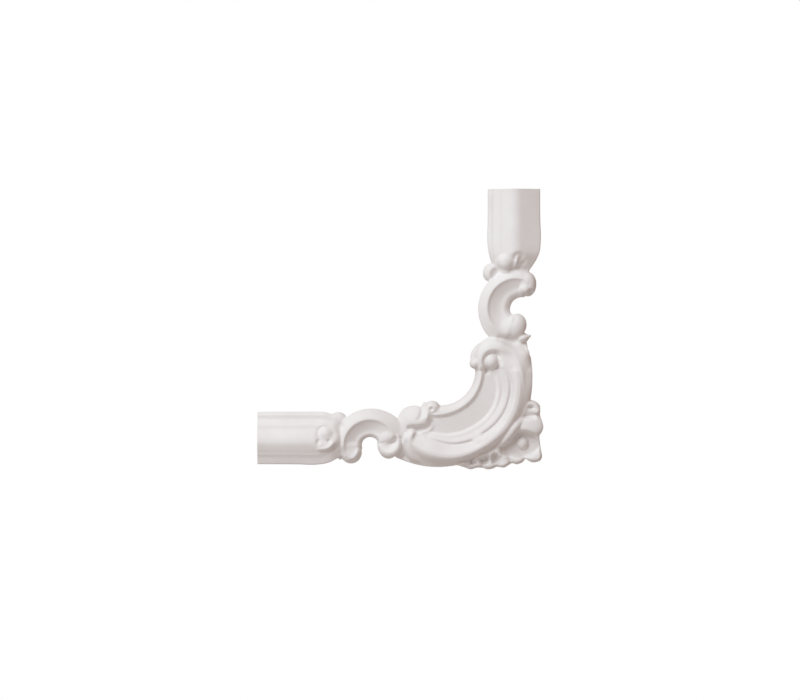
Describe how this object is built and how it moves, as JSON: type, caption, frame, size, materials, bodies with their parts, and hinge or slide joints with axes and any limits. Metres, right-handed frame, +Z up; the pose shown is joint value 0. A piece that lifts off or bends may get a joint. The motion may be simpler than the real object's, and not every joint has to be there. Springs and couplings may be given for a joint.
{
  "type": "polyurethane corner moulding",
  "caption": "Rococo corner for a panel moulding: straight moulded arms run through C-scrolls into a ribbed crescent cartouche with a ruffled shell outside it, on a flat back.",
  "frame": {"origin": "crossing of the centre lines of the upright arm and the level arm, on the flat back that lies against the wall", "axes": "+Y is the outward normal of the flat back, into the wall; the carved front faces -Y; +Z runs up along the upright arm; the level arm runs along -X"},
  "size_m": [0.2502, 0.0203, 0.2455],
  "materials": {
    "polyurethane": "matt, off-white, as it leaves the mould"
  },
  "bodies": {
    "root": {"corner_moulding": "polyurethane"}
  },
  "joints": []
}
